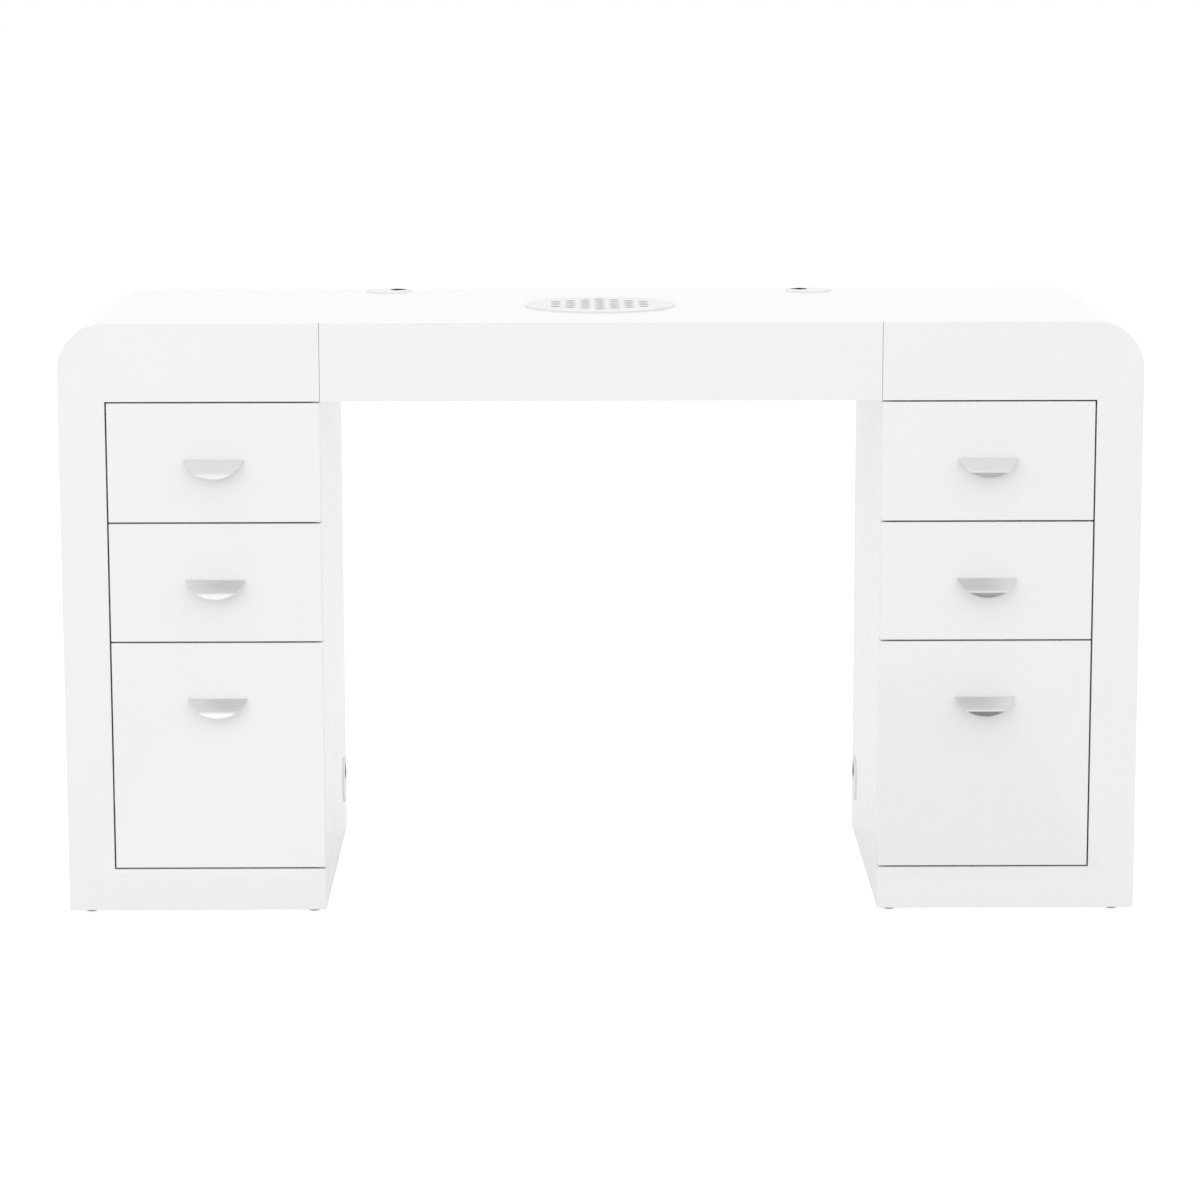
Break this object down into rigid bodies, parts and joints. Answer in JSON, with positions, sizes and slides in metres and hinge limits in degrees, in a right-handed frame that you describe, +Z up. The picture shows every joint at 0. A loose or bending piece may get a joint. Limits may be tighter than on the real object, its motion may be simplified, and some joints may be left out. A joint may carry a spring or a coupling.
{
  "type": "manicure table",
  "caption": "White lacquered nail desk: drawer pedestals with rounded outer corners, a bridge with a round dust vent, cable grommets, half-moon pulls.",
  "frame": {"origin": "on the floor, at the centre of the overall width and depth, pulls included", "axes": "+X to the right and along the length, seen from the drawer side; +Y from the drawer side to the back; +Z up"},
  "size_m": [1.4, 0.5, 0.782],
  "materials": {
    "white_lacquer": "high-gloss white lacquer on board",
    "white_board": "white melamine-faced board",
    "zinc_steel": "zinc-plated",
    "pull_aluminium": "satin anodised",
    "grommet_plastic": "light grey, semi-gloss",
    "grille_plastic": "white, satin",
    "fan_plastic": "black",
    "filter_foam": "open-cell charcoal foam",
    "foot_plastic": "light grey"
  },
  "bodies": {
    "table": {"left_shell": "white_lacquer", "right_shell": "white_lacquer", "left_knee_panel": "white_lacquer", "right_knee_panel": "white_lacquer", "base_panels": "white_board", "back_panels": "white_board", "bay_liners": "white_board", "cabinet_slides": "zinc_steel", "feet": "foot_plastic", "grommet_rings": "grommet_plastic", "bridge_top": "white_lacquer", "bridge_aprons": "white_lacquer", "bridge_underside": "white_lacquer", "bridge_end_panels": "white_board", "bridge_bolts": "zinc_steel", "fan_housing": "fan_plastic", "fan_motor": "zinc_steel", "dust_filter": "filter_foam"},
    "left_upper_drawer": {"left_upper_drawer_front": "white_lacquer", "left_upper_drawer_box": "white_board", "left_upper_drawer_pull": "pull_aluminium", "left_upper_drawer_pull_screws": "zinc_steel", "left_upper_drawer_slides": "zinc_steel"},
    "left_upper_slide_middles": {"left_upper_drawer_slide_middles": "zinc_steel"},
    "left_middle_drawer": {"left_middle_drawer_front": "white_lacquer", "left_middle_drawer_box": "white_board", "left_middle_drawer_pull": "pull_aluminium", "left_middle_drawer_pull_screws": "zinc_steel", "left_middle_drawer_slides": "zinc_steel"},
    "left_middle_slide_middles": {"left_middle_drawer_slide_middles": "zinc_steel"},
    "left_lower_drawer": {"left_lower_drawer_front": "white_lacquer", "left_lower_drawer_box": "white_board", "left_lower_drawer_pull": "pull_aluminium", "left_lower_drawer_pull_screws": "zinc_steel", "left_lower_drawer_slides": "zinc_steel"},
    "left_lower_slide_middles": {"left_lower_drawer_slide_middles": "zinc_steel"},
    "right_upper_drawer": {"right_upper_drawer_front": "white_lacquer", "right_upper_drawer_box": "white_board", "right_upper_drawer_pull": "pull_aluminium", "right_upper_drawer_pull_screws": "zinc_steel", "right_upper_drawer_slides": "zinc_steel"},
    "right_upper_slide_middles": {"right_upper_drawer_slide_middles": "zinc_steel"},
    "right_middle_drawer": {"right_middle_drawer_front": "white_lacquer", "right_middle_drawer_box": "white_board", "right_middle_drawer_pull": "pull_aluminium", "right_middle_drawer_pull_screws": "zinc_steel", "right_middle_drawer_slides": "zinc_steel"},
    "right_middle_slide_middles": {"right_middle_drawer_slide_middles": "zinc_steel"},
    "right_lower_drawer": {"right_lower_drawer_front": "white_lacquer", "right_lower_drawer_box": "white_board", "right_lower_drawer_pull": "pull_aluminium", "right_lower_drawer_pull_screws": "zinc_steel", "right_lower_drawer_slides": "zinc_steel"},
    "right_lower_slide_middles": {"right_lower_drawer_slide_middles": "zinc_steel"},
    "left_top_grommet_cap": {"left_top_grommet_cap": "grommet_plastic"},
    "left_knee_grommet_cap": {"left_knee_grommet_cap": "grommet_plastic"},
    "right_top_grommet_cap": {"right_top_grommet_cap": "grommet_plastic"},
    "right_knee_grommet_cap": {"right_knee_grommet_cap": "grommet_plastic"},
    "fan_impeller": {"fan_impeller": "fan_plastic"},
    "vent_grille": {"vent_grille": "grille_plastic"}
  },
  "joints": [
    {"name": "left_upper_drawer_slide", "type": "slide", "parent": "table", "child": "left_upper_drawer", "axis": [0, -1, 0], "range_m": [0, 0.35]},
    {"name": "left_upper_slide_middles_slide", "type": "slide", "parent": "table", "child": "left_upper_slide_middles", "axis": [0, -1, 0], "range_m": [0, 0.175]},
    {"name": "left_middle_drawer_slide", "type": "slide", "parent": "table", "child": "left_middle_drawer", "axis": [0, -1, 0], "range_m": [0, 0.35]},
    {"name": "left_middle_slide_middles_slide", "type": "slide", "parent": "table", "child": "left_middle_slide_middles", "axis": [0, -1, 0], "range_m": [0, 0.175]},
    {"name": "left_lower_drawer_slide", "type": "slide", "parent": "table", "child": "left_lower_drawer", "axis": [0, -1, 0], "range_m": [0, 0.35]},
    {"name": "left_lower_slide_middles_slide", "type": "slide", "parent": "table", "child": "left_lower_slide_middles", "axis": [0, -1, 0], "range_m": [0, 0.175]},
    {"name": "right_upper_drawer_slide", "type": "slide", "parent": "table", "child": "right_upper_drawer", "axis": [0, -1, 0], "range_m": [0, 0.35]},
    {"name": "right_upper_slide_middles_slide", "type": "slide", "parent": "table", "child": "right_upper_slide_middles", "axis": [0, -1, 0], "range_m": [0, 0.175]},
    {"name": "right_middle_drawer_slide", "type": "slide", "parent": "table", "child": "right_middle_drawer", "axis": [0, -1, 0], "range_m": [0, 0.35]},
    {"name": "right_middle_slide_middles_slide", "type": "slide", "parent": "table", "child": "right_middle_slide_middles", "axis": [0, -1, 0], "range_m": [0, 0.175]},
    {"name": "right_lower_drawer_slide", "type": "slide", "parent": "table", "child": "right_lower_drawer", "axis": [0, -1, 0], "range_m": [0, 0.35]},
    {"name": "right_lower_slide_middles_slide", "type": "slide", "parent": "table", "child": "right_lower_slide_middles", "axis": [0, -1, 0], "range_m": [0, 0.175]},
    {"name": "left_top_grommet_cap_turn", "type": "hinge", "parent": "table", "child": "left_top_grommet_cap", "pos_m": [-0.292, 0.208, 0.78], "axis": [0, 0, 1], "continuous": true},
    {"name": "left_knee_grommet_cap_turn", "type": "hinge", "parent": "table", "child": "left_knee_grommet_cap", "pos_m": [-0.363, 0.203, 0.086], "axis": [1, 0, 0], "continuous": true},
    {"name": "right_top_grommet_cap_turn", "type": "hinge", "parent": "table", "child": "right_top_grommet_cap", "pos_m": [0.292, 0.208, 0.78], "axis": [0, 0, 1], "continuous": true},
    {"name": "right_knee_grommet_cap_turn", "type": "hinge", "parent": "table", "child": "right_knee_grommet_cap", "pos_m": [0.363, 0.203, 0.086], "axis": [-1, 0, 0], "continuous": true},
    {"name": "fan_spin", "type": "hinge", "parent": "table", "child": "fan_impeller", "pos_m": [0, 0, 0.732], "axis": [0, 0, 1], "continuous": true},
    {"name": "grille_lift", "type": "slide", "parent": "table", "child": "vent_grille", "axis": [0, 0, 1], "range_m": [0, 0.06]}
  ],
  "couplings": [
    {"joint": "left_upper_slide_middles_slide", "follows": "left_upper_drawer_slide", "ratio": 0.5},
    {"joint": "left_middle_slide_middles_slide", "follows": "left_middle_drawer_slide", "ratio": 0.5},
    {"joint": "left_lower_slide_middles_slide", "follows": "left_lower_drawer_slide", "ratio": 0.5},
    {"joint": "right_upper_slide_middles_slide", "follows": "right_upper_drawer_slide", "ratio": 0.5},
    {"joint": "right_middle_slide_middles_slide", "follows": "right_middle_drawer_slide", "ratio": 0.5},
    {"joint": "right_lower_slide_middles_slide", "follows": "right_lower_drawer_slide", "ratio": 0.5}
  ]
}
